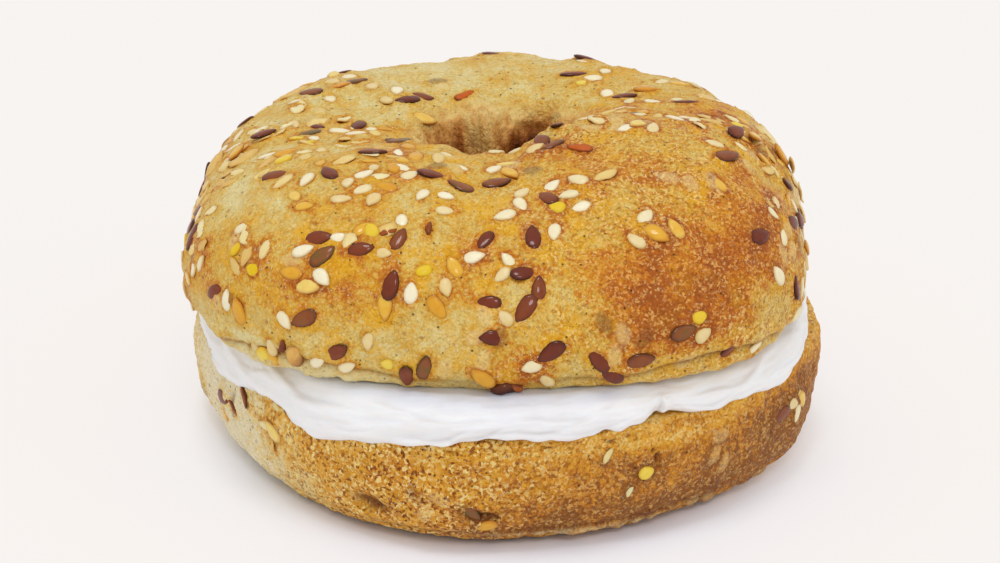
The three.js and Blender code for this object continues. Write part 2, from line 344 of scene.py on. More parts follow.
def bumped(tree, height, depth):
    return add(tree, "ShaderNodeBump", {"Height": height, "Distance": depth * MM, "Strength": 1.0}).outputs[0]


def new_material(name):
    """A material, its tree, its shader, and the place on the piece that its patterns follow."""
    material = bpy.data.materials.new(name)
    material.use_nodes = True
    tree = material.node_tree
    place = add(tree, "ShaderNodeTexCoord").outputs["Object"]
    return material, tree, tree.nodes["Principled BSDF"], place


honey_glaze = colour(232, 172, 24)
dark_crumb = colour(138, 68, 12)
flour_dust = colour(248, 226, 170)
pale_seed_below = colour(240, 214, 150)
dark_seed_below = colour(112, 58, 36)
# A bright speck colour, partly pale grains and partly painted glints.
painted_glint = colour(255, 246, 220)
brown_bran = colour(146, 80, 34)
black_bran = colour(44, 26, 18)
bare_dough = colour(244, 226, 170)
# The crease colour is painted shade for creases, pits, the foot and the deep hole, partly the browner crust
# there.
crease_shade = colour(122, 68, 30)
light_crumb_shades = [(0.45, (255, 236, 160)), (0.85, (250, 196, 110))]
torn_shades = [(0.0, (236, 206, 132)), (0.3, (218, 162, 86)), (0.6, (166, 98, 44)), (0.9, (88, 40, 18))]


def baked_crust(name, shades, patchiness, mottling, grit_size, grit_share, grain_depth, glaze,
                crumb_size, crumbliness, bran, gleam):
    """Dry baked dough: a base tint by how toasted it is, blotched and gritty, glazed yellow in patches,
    broken into light and dark crumbs and flecked with bran and bright specks that are partly painted glints.
    Creases and pits are painted darker as shade. Seeds under the skin show through it, and where the dough
    was torn it is drawn out in strands, painted darker as shade in the clefts."""
    material, tree, shader, place = new_material(name)
    toast, crease, beside_seed, buried, pale, torn, crumbly = [
        kept_shade(tree, key)
        for key in ("toast", "crease", "beside_seed", "buried", "pale", "torn", "crumbly")
    ]

    # How toasted each spot is, from the piece's own toast and from patches, blotches and grit in the dough,
    # and darker in the collar beside each seed, browned there and painted as shade.
    patches = fine_noise(tree, place, size=7, detail=2, shift=1)
    blotches = fine_noise(tree, place, size=2.4, detail=3, shift=2)
    mottle = fine_noise(tree, place, size=0.8, detail=3, shift=3)
    dust = fine_noise(tree, place, size=0.28, detail=2, shift=4)
    wander = add(tree, "ShaderNodeTexNoise", {"Vector": place, "Scale": 1 / (1.6 * MM), "Detail": 2.0})
    pushed = vector_maths(tree, "SCALE", {0: wander.outputs["Color"], "Scale": 1.4 * MM})
    bent = vector_maths(tree, "ADD", {0: place, 1: pushed})
    grit = cells(tree, bent, grit_size)["Distance"]
    level = sum_of(tree, toast, [
        (patches, patchiness, 0.5), (blotches, mottling, 0.5), (mottle, mottling, 0.5), (dust, mottling, 0.5),
        (grit, grit_share, 0.42), (beside_seed, 0.28, 0.0),
    ])

    # Glaze lies in patches on dough that is neither pale nor burnt.
    golden = share_of(tree, stretched(tree, toast, 0.15, 0.38), stretched(tree, toast, 0.85, 0.6, 0.15, 1.0))
    glazed = stretched(tree, fine_noise(tree, place, size=4.5, detail=2, shift=5), 0.5, 0.64, 0.0, glaze)

    # Each grain of a dry crust draws whether it is a light crumb or a dark one. Light ones come in clusters.
    grain_draw = cells(tree, bent, crumb_size)["Color"]
    crumb_noise = fine_noise(tree, place, size=crumb_size, detail=4, shift=6)
    crumbs = sum_of(tree, 0.5, [(crumb_noise, 0.55, 0.5), (grain_draw, 0.45, 0.5)])
    dry = share_of(tree, stretched(tree, toast, 0.0, 0.35, 0.3, 1.0), crumbly)
    clustered = share_of(tree, dry, stretched(tree, blotches, 0.34, 0.56, 0.3, 1.0))
    light = share_of(tree, stretched(tree, crumbs, 0.55, 0.66, 0.0, crumbliness), clustered)
    dark = share_of(tree, stretched(tree, crumbs, 0.44, 0.34, 0.0, crumbliness * 0.8), dry)

    # Specks of flour and bran, and bright specks, partly pale grains and partly painted glints, dulled where
    # toasted.
    flour = specks(tree, place, spacing=0.75, radius=0.2, shift=0.1)
    glint_specks = specks(tree, place, spacing=0.9, radius=0.14, shift=0.2)
    bran_fine = specks(tree, place, spacing=1.9, radius=0.2, shift=0.3)
    bran_large = specks(tree, place, spacing=3.1, radius=0.42, shift=0.4)
    glints = share_of(tree, glint_specks, stretched(tree, blotches, 0.45, 0.58))
    glints = share_of(tree, glints, stretched(tree, toast, 0.85, 0.5, 0.6, 1.0))

    # Torn dough is pulled out in upright strands, painted darkest as shade in the clefts and deep in the
    # hole.
    upright = vector_maths(tree, "MULTIPLY", {0: place, 1: (1.0, 1.0, 0.22)})
    pulled = sum_of(tree, crease, [(fine_noise(tree, upright, size=1.5, detail=4, shift=7), 1.5, 0.5)])

    tinted = ramp(tree, level, shades)
    for shade, share in (
        (honey_glaze, share_of(tree, glazed, golden)),
        (ramp(tree, toast, light_crumb_shades), light),
        (dark_crumb, dark),
        (flour_dust, share_of(tree, flour, 0.25)),
        (pale_seed_below, share_of(tree, stretched(tree, buried, 0.0, 1.0), 0.4)),
        (dark_seed_below, share_of(tree, stretched(tree, buried, 0.0, -1.0), 0.5)),
        (painted_glint, share_of(tree, glints, 0.9)),
        (brown_bran, share_of(tree, bran_large, 0.5)),
        (black_bran, share_of(tree, bran_fine, bran)),
        (bare_dough, pale),
        # Painted shade in creases, pits, along the foot and down the hole, partly the browner crust there.
        (crease_shade, crease),
        (ramp(tree, pulled, torn_shades), torn),
    ):
        tinted = layer_over(tree, tinted, shade, share)

    height = sum_of(tree, mottle, [
        (grit, -grit_share, 0.4), (dust, 0.5, 0.5), (glint_specks, 0.5, 0.0), (bran_fine, -0.4, 0.0),
    ])
    fill(tree, shader.inputs, {
        "Base Color": tinted,
        "Normal": bumped(tree, height, grain_depth),
        "Roughness": stretched(tree, blotches, 0.3, 0.7, gleam + 0.1, gleam - 0.1),
        "Specular IOR Level": 0.2,
        "Subsurface Weight": 0.1,
        "Subsurface Radius": (1.0, 0.55, 0.25),
        "Subsurface Scale": 1.2 * MM,
    })
    return material


# Where the bottom's side is browner or paler: bearing, place, their half widths, and how much. The darker
# patches at the right and low near the foot, and the pale one at the left, are partly toasting and partly
# painted shade and light.
bottom_toast = [
    (244, 0.95, 17, 0.5, 0.16), (262, 1.1, 14, 0.35, 0.14), (284, 1.0, 14, 0.4, 0.1),
    (310, 0.9, 26, 0.6, 0.24), (345, 1.0, 28, 0.7, 0.26), (205, 0.8, 20, 1.2, -0.5),
    (234, 1.6, 24, 0.14, -0.1), (160, 1.0, 40, 1.0, -0.2), (60, 1.0, 40, 0.8, 0.1),
    (288, 1.4, 16, 0.16, -0.2), (278, 0.5, 24, 0.24, 0.5), (312, 0.55, 22, 0.3, 0.3),
    (294, 1.0, 12, 0.3, 0.2), (300, 1.5, 12, 0.16, 0.2), (335, 1.2, 14, 0.5, 0.26),
    (281, 0.72, 9, 0.12, 0.16), (228, 0.72, 10, 0.3, -0.1), (332, 0.66, 16, 0.24, 0.18),
    (217, 1.06, 7, 0.2, 0.12), (303, 1.32, 9, 0.16, -0.14),
]
bottom_toast_level = 0.42
cut_face_paleness = 0.6


def toasting(patches, bearing, place, level):
    for at, line, half_turn, half_line, amount in patches:
        level = level + amount * near(bearing, at, half_turn) * bell(place, line, half_line)
    return level


bottom_crust = baked_crust(
    "bottom_crust",
    shades=[
        (0.0, (249, 235, 196)), (0.22, (244, 214, 140)), (0.45, (238, 176, 62)),
        (0.68, (222, 150, 42)), (0.88, (187, 116, 40)), (1.0, (150, 92, 38)),
    ],
    patchiness=0.7, mottling=0.6, grit_size=0.75, grit_share=0.3, grain_depth=0.7, glaze=0.3,
    crumb_size=0.5, crumbliness=1.0, bran=0.75, gleam=0.55,
)
bearing, place = ring_grid(bottom_point, bottom_rounds, bottom_stretches)
bottom_skin, bottom_normal, _ = on_surface(bottom_point, bottom_relief, bearing, place)

# Seeds were sprinkled on the wet dough and baked into its skin. The same draws as in the solids say where
# each lies, and the dough stands up round it in a low collar, browned and painted darker as shade next to the
# seed. Each kind has a length, a width and a thickness, and its share of a hundred scattered seeds.
seed_kinds = {
    "sesame": {"size": (3.4, 2.1, 0.75), "share": 49},
    "brown_flax": {"size": (4.6, 2.5, 0.85), "share": 27},
    "golden_flax": {"size": (4.3, 2.4, 0.85), "share": 20},
    "maize_grit": {"size": (2.7, 2.3, 0.9), "share": 4},
    "wheat_flake": {"size": (4.8, 2.4, 0.5), "share": 0},
    "bran_sliver": {"size": (4.6, 1.7, 0.7), "share": 0},
    "baked_crumb": {"size": (4.2, 3.0, 2.4), "share": 0},
}
seed_spacing = 2.5
loner_spacing = 3.9
widest_room = 2200
clump_share = 0.34
clump_reach = 3.3
least_growth, most_growth = 0.86, 1.1
seed_reach = 5
collar_height = 0.34
collar_width = 0.75
browned_and_shaded_width = 0.45
buried_height = 0.42
buried_half_size = (1.9, 1.15)


def dice(start):
    """A repeatable draw of numbers from 0 to 1."""
    state = start
    while True:
        state = (state * 1664525 + 1013904223) % 2**32
        yield state / 2**32


def kind_of(draw):
    passed = 0
    for kind, facts in seed_kinds.items():
        passed += facts["share"]
        if draw * 100 < passed:
            return kind
    return None


def scatter(point, relief, first, last, lowest, highest, count, start, cover):
    """Scatters seeds over a surface, alike for each square millimetre of it but for what cover leaves. Some
    fall beside a seed that lies alone, and none closer to another than the spacing."""
    roll = dice(start)
    seeds = []
    loners = []
    for _ in range(count * 100):
        if len(seeds) >= count:
            break
        bearing = next(roll) * TURN
        place = mix(first, last, next(roll))
        beside = int(next(roll) * len(loners))
        clumped = next(roll) < clump_share and len(loners) > 0
        turn = next(roll) * TURN
        chance = next(roll)
        kind = kind_of(next(roll))
        spin = next(roll) * TURN
        scale = mix(least_growth, most_growth, next(roll))
        if clumped:
            loner = loners[beside]
            bearing = loner["bearing"] + clump_reach * math.cos(turn) / loner["spread"][0]
            place = loner["place"] + clump_reach * math.sin(turn) / loner["spread"][1]
        if place < first or place > last:
            continue
        spot, normal, spread = on_surface(point, relief, np.float64(bearing), np.float64(place))
        room = 1 if clumped else spread[0] * spread[1] / widest_room
        if spot[2] < lowest or spot[2] > highest or chance > room * cover(bearing, place):
            continue
        spacing = seed_spacing if clumped else loner_spacing
        if any(np.linalg.norm(other["spot"] - spot) < spacing for other in seeds):
            continue
        seed = {"kind": kind, "bearing": bearing, "place": place, "spin": spin, "scale": scale,
                "spot": spot, "normal": normal, "spread": spread}
        seeds.append(seed)
        if not clumped:
            loners.append(seed)
    return seeds


def lie_of(seed):
    """The seed's long and cross directions on the surface, after its spin."""
    turned = Vector((0, 0, 1)).rotation_difference(Vector(seed["normal"]))
    long_way = turned @ Vector((math.cos(seed["spin"]), math.sin(seed["spin"]), 0))
    return np.array(long_way), np.cross(seed["normal"], np.array(long_way))


def press_seeds(points, normals, seeds, buried):
    """Raises a collar of dough round each seed and a low dome over each buried one. Returns the points, a
    shade that is 1 close beside a seed, and one that is 1 over a pale buried seed and -1 over a dark one."""
    flat, flat_normal = points.reshape(-1, 3).copy(), normals.reshape(-1, 3)
    raised, beside, showing = np.zeros((3, len(flat)))

    def close_to(seed, half_length, half_width, reach):
        """The points within reach of a seed, and how far out each lies, 1 on the seed's own edge."""
        long_way, cross_way = lie_of(seed)
        away = flat - seed["spot"]
        close = np.flatnonzero((np.abs(away) < reach).all(axis=1))
        return close, np.hypot(away[close] @ long_way / half_length, away[close] @ cross_way / half_width)

    for seed in buried:
        close, out = close_to(seed, *buried_half_size, reach=seed_reach)
        raised[close] = np.maximum(raised[close], buried_height * np.exp(-(out**4)))
        beside[close] = np.maximum(beside[close], 0.5 * bell(out, 1.15, 0.25))
        showing[close] += (-1 if seed["kind"] == "brown_flax" else 1) * (1 - smooth(out, 0.75, 1.05))
    for seed in seeds:
        length, width, _ = [size * seed["scale"] / 2 for size in seed_kinds[seed["kind"]]["size"]]
        close, out = close_to(seed, length, width, reach=seed_reach)
        gap = np.maximum(out - 1, 0) * width
        collar = bell(gap, 0, collar_width) * smooth(out, 0.6, 1.0)
        raised[close] = np.maximum(raised[close], collar * collar_height)
        beside[close] = np.maximum(beside[close], bell(gap, 0, browned_and_shaded_width))
    flat += flat_normal * raised[:, None]
    return flat.reshape(points.shape), *[shade.reshape(points.shape[:-1]) for shade in (beside, showing)]


def laid_bits(point, relief, bits):
    """Bits laid one by one, as seeds of the same sort as the scattered ones. They stand prouder of the dough.
    """
    def laid(kind, at, place, spin, scale, tint=None, lifted=0.15):
        bearing = math.radians(at)
        spot, normal, spread = on_surface(point, relief, np.float64(bearing), np.float64(place))
        return {"kind": kind, "bearing": bearing, "place": place, "spin": math.radians(spin), "scale": scale,
                "spot": spot, "normal": normal, "spread": spread, "lifted": lifted, "tint": tint}

    return [laid(kind, *row) for kind, rows in bits.items() for row in rows]


# Bits laid one by one, for each kind: bearing, place, spin in degrees and growth.
bottom_bits = {
    "bran_sliver": [(208, 0.92, 95, 1.0), (214, 1.17, 80, 0.9)],
    "wheat_flake": [
        (222.5, 0.98, 110, 0.7), (224.5, 0.9, 70, 0.6), (226, 1.4, 90, 0.5), (289, 1.2, 80, 0.5),
        (293, 0.8, 100, 0.5), (334, 1.0, 20, 0.5),
    ],
    "maize_grit": [(296, 0.93, 30, 1.0)],
}

bottom_seeds = scatter(
    bottom_point, plain_bottom_relief, first=0.3, last=1.2, lowest=3, highest=13.5, count=20, start=29651,
    cover=lambda bearing, place: 0.6,
)
bottom_seeds += laid_bits(bottom_point, plain_bottom_relief, bottom_bits)
bottom_buried = scatter(
    bottom_point, plain_bottom_relief, first=0.3, last=1.5, lowest=2, highest=17, count=24, start=5,
    cover=lambda bearing, place: 1,
)

# The bottom's piece is finished here, once its seeds have pressed their collars into it.
bottom_skin, bottom_beside, bottom_showing = press_seeds(
    bottom_skin, bottom_normal, bottom_seeds, bottom_buried)
height = bottom_skin[..., 2]
# Painted shade along the foot's crease and its lowest edge, where the under-curve turns from the light,
# partly the drier, darker crust there; the pits are painted darker as shade too.
foot = (bell(height, foot_height + 0.3, 0.35) + smooth(height, 1.1, 0.5)) * near(bearing, *crease_span)
cut_face = smooth(place, 2.04, 2.3) * (place < 4)
bottom_piece = ring_piece("bottom_bread", bottom_skin, {
    "toast": toasting(bottom_toast, bearing, place, bottom_toast_level) - cut_face_paleness * cut_face,
    "crease": np.clip(0.55 * foot * (place < 1) + pit_shade(bearing, place), 0, 0.9),
    "pale": 0.85 * ridge_line(bearing, height) * (place < 1),
    "beside_seed": bottom_beside,
    "buried": 0.7 * bottom_showing,
    "torn": 0 * place,
    "crumbly": 0.52 + 0.75 * near(bearing, 252, 24),
}, bottom_crust)
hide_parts("bottom_half")
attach(bottom_piece, "root")


# ---------------------------------------------------------------------------------------------------------
# Soft cheese. A thick white layer spread with a knife: it fills the cut, leaves a ring open round the hole
# and laps over the bottom's rim in tongues of different length, with smear ridges that run along the edge.
# ---------------------------------------------------------------------------------------------------------
cut_height = 24.5
bread_gap = 0.3
top_gap = 0.05
cheese_hole_radius = 9.4
cheese_over_rim = 0.7
lip_tuck = 1.3
lip_slope = 4.4
lip_rise = 1.9
throat_outline = [(2, 0.09, 0), (3, 0.05, 20), (5, 0.04, 50)]
cheese_rounds = 1100
cheese_stretches = [(0, 1, 16), (1, 2, 36), (2, 3, 12), (3, 4, 6), (4, 5, 14)]
# Laps of the edge: bearing, half width, how far each hangs past the rim, and how much further out it stands.
laps = [
    (203, 12, 4.4, 0.3), (219, 9, 1.3, 0.2), (235.5, 8, 3.6, 0.9), (250, 11, 2.0, 0.4), (268, 9, -0.5, 0.5),
    (283, 4, 0.6, 0.4), (300, 3, -1.0, -1.1), (316, 9, 0.6, 0.5), (328, 7, 1.4, 0.4), (352, 14, -0.5, -1.9),
    (20, 10, 1.2, 0.5), (48, 12, 2.3, 0.8), (84, 10, 0.2, -0.6), (110, 11, 2.0, 0.7), (146, 13, 0.9, 0.2),
    (174, 9, -0.2, -0.8),
]


def cheese_point(bearing, place):
    """Places: 0 lowest edge of the lip, 1 its reach, 2 top edge, 3 and 4 hole's edge on top and below."""
    hang = sum(past * near(bearing, at, half_turn) for at, half_turn, past, _ in laps)
    further = sum(stand * near(bearing, at, half_turn) for at, half_turn, _, stand in laps)
    ragged = 0.32 * np.sin(31 * bearing + 0.4) * np.sin(9 * bearing)
    ragged = ragged + 0.2 * np.sin(67 * bearing + 2 * np.sin(5 * bearing))
    ragged = ragged * (1 + 1.6 * near(bearing, 284, 13))
    reach = rim_radius * (1 + waves(bottom_outline, bearing)) + cheese_over_rim + further
    low = rim_height - hang - 0.5 * ragged
    under, top = rim_height - bread_gap, cut_height - top_gap
    hole = cheese_hole_radius * (1 + waves(throat_outline, bearing))
    step = place % 1
    out, up = quarter(step, 2)
    rise, inward = quarter(step, 1.8)
    lip = polar(reach - lip_tuck, bearing, low)
    brow = polar(reach - lip_slope, bearing, top)
    hole_top, hole_under = polar(hole, bearing, top, hole_middle), polar(hole, bearing, under, hole_middle)
    return of_stretch(place, [
        polar(mix(reach - lip_tuck, reach, out), bearing, mix(low, low + lip_rise, up)),
        polar(mix(reach, reach - lip_slope, inward), bearing, mix(low + lip_rise, top, rise)),
        mix(brow, hole_top, step[..., None]),
        mix(hole_top, hole_under, step[..., None]),
        mix(hole_under, lip, step[..., None]),
    ])


# Edges where one stroke of the knife lapped over the last: from and to (bearing, height), and how thick.
strokes = [
    ((222, 22.6), (246, 20.9), 0.5), ((229, 20.4), (262, 21.6), 0.4), ((236, 18.2), (252, 19.6), 0.35),
    ((247, 22.8), (272, 22.0), 0.45), ((254, 18.3), (266, 20.8), 0.55), ((259, 18.6), (272, 21.2), 0.5),
    ((268, 20.3), (287, 21.4), 0.6), ((273, 21.9), (292, 22.7), 0.35), ((276, 19.8), (297, 20.7), 0.35),
    ((297.5, 18.4), (300, 22.6), 0.9), ((306, 21.4), (324, 22.8), 0.45), ((304, 19.9), (314, 20.2), 0.5),
    ((322, 20.2), (346, 21.6), 0.3), ((205, 20.2), (226, 21.8), 0.3), ((10, 20.4), (40, 22), 0.4),
    ((52, 21.6), (80, 20.4), 0.4), ((100, 20.2), (130, 22), 0.4), ((138, 21.8), (170, 20.6), 0.4),
]


def stroke_edges(bearing, height):
    """For each stroke: its thickness, a share that fades at its ends, and a point's height over its edge."""
    for (from_bearing, from_height), (to_bearing, to_height), thick in strokes:
        run = math.radians(to_bearing - from_bearing) * rim_radius
        rise = to_height - from_height
        length = math.hypot(run, rise)
        ahead = np.radians((np.degrees(bearing) - from_bearing + 180) % 360 - 180) * rim_radius
        up = height - from_height
        along = (ahead * run + up * rise) / length**2
        off = (up * run - ahead * rise) / length + 0.7 * np.sin(along * math.pi) - 0.25 * np.sin(along * 9)
        yield thick, between(along, -0.08, 0.2, 0.75, 1.08), off


def stroke_shadow(bearing, height):
    """A painted shadow: the thin grey line in the nick above each stroke's edge."""
    return sum(thick * ends * bell(off, 0.3, 0.28) for thick, ends, off in stroke_edges(bearing, height))


def drawn_out(points, level, upright):
    """Points scaled one way on the level and another upright, so that noise on them runs in streaks."""
    return points * np.array([level, level, upright])


def cheese_relief(bearing, place):
    """Smears that run along the edge and slant a little, and a step at each stroke's edge."""
    spot = cheese_point(bearing, place)
    face = between(place, 0.1, 0.6, 1.95, 2.05)
    slanted = spot.copy()
    slanted[..., 2] += 1.6 * np.sin(2 * bearing + 0.5) + 0.8 * np.sin(5 * bearing)
    relief = (
        lumps(drawn_out(slanted, 0.11, 0.62), (0.34, 1, 3, 0))
        + lumps(drawn_out(slanted, 0.3, 1.9), (0.07, 1, 2, 4))
        + lumps(spot, (0.08, 3.4, 2, 2))
    )
    for thick, ends, off in stroke_edges(bearing, spot[..., 2]):
        relief = relief + thick * ends * np.where(off > 0, bell(off, 0, 0.22), bell(off, 0, 1.3))
    return face * relief


# Painted shade colours for the cheese: cool grey under the bread, warm grey at the front and in the nicks.
white_shades = [(0.3, (246, 248, 253)), (0.7, (245, 245, 249))]
cool_shadow = colour(196, 200, 212)
warm_shadow = colour(208, 204, 202)


def spread_cheese():
    """White, moist and faintly see-through, with a soft shine. Shade is painted on it: cool grey under the
    bread's edge, warm grey across the front and thin warm grey lines in the nicks above the strokes.
    """
    material, tree, shader, place = new_material("soft_cheese")
    tint = ramp(tree, fine_noise(tree, place, size=4, detail=2, shift=1), white_shades)
    tint = layer_over(tree, tint, cool_shadow, kept_shade(tree, "shade"))
    tint = layer_over(tree, tint, warm_shadow, kept_shade(tree, "warm_shade"))
    fill(tree, shader.inputs, {
        "Base Color": tint,
        "Normal": bumped(tree, fine_noise(tree, place, size=0.6, detail=2, shift=2), 0.05),
        "Roughness": 0.42,
        "Specular IOR Level": 0.4,
        "Subsurface Weight": 0.6,
        "Subsurface Radius": (1.0, 0.85, 0.75),
        "Subsurface Scale": 2.2 * MM,
    })
    return material


bearing, place = ring_grid(cheese_point, cheese_rounds, cheese_stretches)
cheese_skin, _, _ = on_surface(cheese_point, cheese_relief, bearing, place)
height = cheese_skin[..., 2]
# Painted shade: cool grey where the top half's edge overhangs the cheese, warm grey across the front of the
# spread and in thin lines in the nicks above the strokes.
shade_under_bread = smooth(height, 22.6, cut_height) * smooth(place, 0.5, 1.5)
nick_shadows = np.clip(0.5 * stroke_shadow(bearing, height), 0, 0.4) * (place < 2)
cheese_piece = ring_piece("soft_cheese", cheese_skin, {
    "shade": 0.6 * shade_under_bread,
    "warm_shade": 0.22 * near(bearing, 275, 13) * (1 - shade_under_bread) + nick_shadows,
}, spread_cheese())
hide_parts("cream_cheese")
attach(cheese_piece, "root")


# ---------------------------------------------------------------------------------------------------------
# Top half. The domed upper slice: a crown that sinks into a torn hole, a toasted cheek at the front right,
# and a fold of skin just above its cut edge, under which the dough stayed pale.
# ---------------------------------------------------------------------------------------------------------
cut_radius = 46.6
top_wide_radius = 49.6
top_wide_height = 5.2
crest_radius = 25.5
crest_height = 25.1
shoulder_fullness = 2.2
throat_radius = 10.0
throat_height = 9.5
funnel_fullness = 3.6
top_hole_radius = 8.4
fold_depth = 0.9
fold_width = 0.9
fold_height = 1.2
top_outline = [(1, 0.008, 127), (2, 0.012, -20), (3, 0.018, -32), (4, 0.037, 44), (6, 0.006, 27)]
crest_line = [(1, 0.073, -39), (2, 0.019, -27), (3, 0.04, -23), (4, 0.02, -36)]
crest_ring = [(1, 0.27, 105), (2, 0.13, 19), (3, 0.07, -6)]
top_rounds = 640
top_stretches = [(0, 1, 20), (1, 2, 76), (2, 3, 48), (3, 4, 8), (4, 5, 4)]


def top_point(bearing, place):
    """Places: 0 cut edge, 1 widest line, 2 crest, 3 throat of the hole, 4 inner edge of the cut face."""
    outline = 1 + waves(top_outline, bearing)
    wide, cut = top_wide_radius * outline, cut_radius * outline
    crest = crest_radius * (1 + waves(crest_ring, bearing))
    crest_z = cut_height + crest_height * (1 + waves(crest_line, bearing))
    throat = throat_radius * (1 + waves(throat_outline, bearing))
    throat_z = cut_height + throat_height
    step = place % 1
    out, up = quarter(step, 2)
    rise, inward = quarter(step, shoulder_fullness)
    across, down = quarter(step, funnel_fullness)
    level = mix(crest_z, throat_z, down)
    inner = polar(top_hole_radius, bearing, cut_height, hole_middle)
    return of_stretch(place, [
        polar(mix(cut, wide, out), bearing, cut_height + top_wide_height * up),
        polar(mix(wide, crest, inward), bearing, mix(cut_height + top_wide_height, crest_z, rise)),
        mix(polar(crest, bearing, level), polar(throat, bearing, level, hole_middle), across[..., None]),
        polar(mix(throat, top_hole_radius, step**2), bearing, mix(throat_z, cut_height, step), hole_middle),
        mix(inner, polar(cut, bearing, cut_height), step[..., None]),
    ])


def fold_level(bearing):
    return fold_height + 2.1 * near(bearing, 309, 13) + 1.8 * near(bearing, 232, 13)


def fold_share(bearing):
    return 1 - 0.6 * near(bearing, 60, 90)


def fold_change(bearing):
    """The fold fades out at the front and bites deeper at the right."""
    return 0.3 * near(bearing, 309, 12) - 0.7 * near(bearing, 268, 17)


def folding(bearing, place, share):
    """How deep the skin folds in, by its share."""
    height = top_point(bearing, np.minimum(place, 1))[..., 2] - cut_height
    return fold_depth * bell(height, fold_level(bearing), fold_width) * share * smooth(place, 0, 0.3)


def plain_top_relief(bearing, place):
    """The top's relief without its finest grain, as the seeds find it."""
    wall = between(place, 2.25, 2.7, 3.1, 3.8)
    torn = (
        2.9 * near(bearing, 104, 17)
        - 3.2 * near(bearing, 66, 14)
        - near(bearing, 145, 16)
        + 0.5 * np.sin(11 * bearing + 5 * place)
    )
    dough = between(place, 0.1, 1, 3, 3.9)
    return dough * swell(bearing, place) - folding(bearing, place, fold_share(bearing)) + wall * torn


def top_relief(bearing, place):
    """Adds blisters and grain to the skin, streaks to the torn wall, and crags to the edge and left lip."""
    spot = top_point(bearing, place)
    skin = between(place, 0.05, 0.4, 2.3, 2.8)
    wall = between(place, 2.25, 2.6, 3.7, 3.95)
    edge = np.maximum(1 - smooth(place, 0, 0.35), smooth(place, 4.9, 5))
    left_lip = (1 - smooth(place, 0.5, 0.95)) * near(bearing, 231, 15)
    return (
        plain_top_relief(bearing, place)
        - folding(bearing, place, fold_change(bearing))
        + skin * (lumps(spot, (0.55, 12, 1, 9), (0.3, 5.5, 2, 0), (0.1, 1.3, 2, 0)) + 0.1 * grains(spot, 1.7))
        + wall * lumps(drawn_out(spot, 1, 0.35), (0.9, 2.6, 3, 3), (0.3, 1.1, 2, 5))
        + edge * lumps(spot, (0.35, 2.2, 3, 6), (0.3, 5, 1, 8))
        + left_lip * lumps(spot, (0.75, 2.4, 3, 3))
    )


def top_cover(bearing, place):
    """The toasted cheek, the back of the crown and the hole's wall hold fewer seeds."""
    cheek = near(bearing, 307, 20) * bell(place, 1.2, 0.35)
    front = near(bearing, 268, 14) * bell(place, 1.5, 0.2)
    back = near(bearing, 95, 28) * smooth(place, 1.45, 1.9)
    wall = smooth(place, 2.2, 2.5)
    return max(0, 1 - 0.85 * cheek - 0.3 * front - 0.75 * back - 0.8 * wall)


# Where the top browned or stayed pale: bearing, place, their half widths, and how much.
top_toast = [
    (315, 1.3, 14, 0.22, 0.5), (299, 1.1, 8, 0.11, 0.66), (291, 1.28, 8, 0.13, 0.3),
    (330, 1.45, 12, 0.24, 0.26), (296, 1.42, 10, 0.16, 0.32), (0, 1.8, 16, 0.25, 0.26),
    (290, 1.72, 10, 0.1, 0.14), (200, 1.66, 18, 0.2, -0.14), (228, 0.88, 12, 0.12, -0.4),
    (253, 1.02, 10, 0.08, -0.12), (245, 1.57, 8, 0.12, -0.26), (260, 1.18, 8, 0.09, -0.16),
    (245, 1.76, 10, 0.1, -0.08), (245, 1.29, 9, 0.14, 0.22), (223, 1.23, 10, 0.18, 0.1),
    (281, 1.05, 9, 0.1, 0.04), (308, 1.84, 16, 0.14, 0.28), (260, 1.9, 10, 0.16, -0.04),
    (262, 1.51, 9, 0.13, 0.06), (275, 1.32, 9, 0.14, -0.1), (229, 1.5, 9, 0.12, 0.06),
    (246, 1.04, 16, 0.12, -0.06), (120, 2.0, 75, 0.7, -0.22), (200, 1.4, 22, 0.5, -0.1),
    (60, 1.2, 60, 0.4, 0.1), (160, 1.1, 30, 0.3, 0.12),
]
top_toast_level = 0.4

top_crust = baked_crust(
    "top_crust",
    shades=[
        (0.0, (230, 214, 154)), (0.25, (224, 192, 108)), (0.5, (220, 170, 62)),
        (0.72, (208, 130, 24)), (0.88, (192, 106, 20)), (1.0, (170, 88, 22)),
    ],
    patchiness=1.1, mottling=0.55, grit_size=0.7, grit_share=0.3, grain_depth=0.5, glaze=0.8,
    crumb_size=0.4, crumbliness=0.62, bran=0.8, gleam=0.46,
)

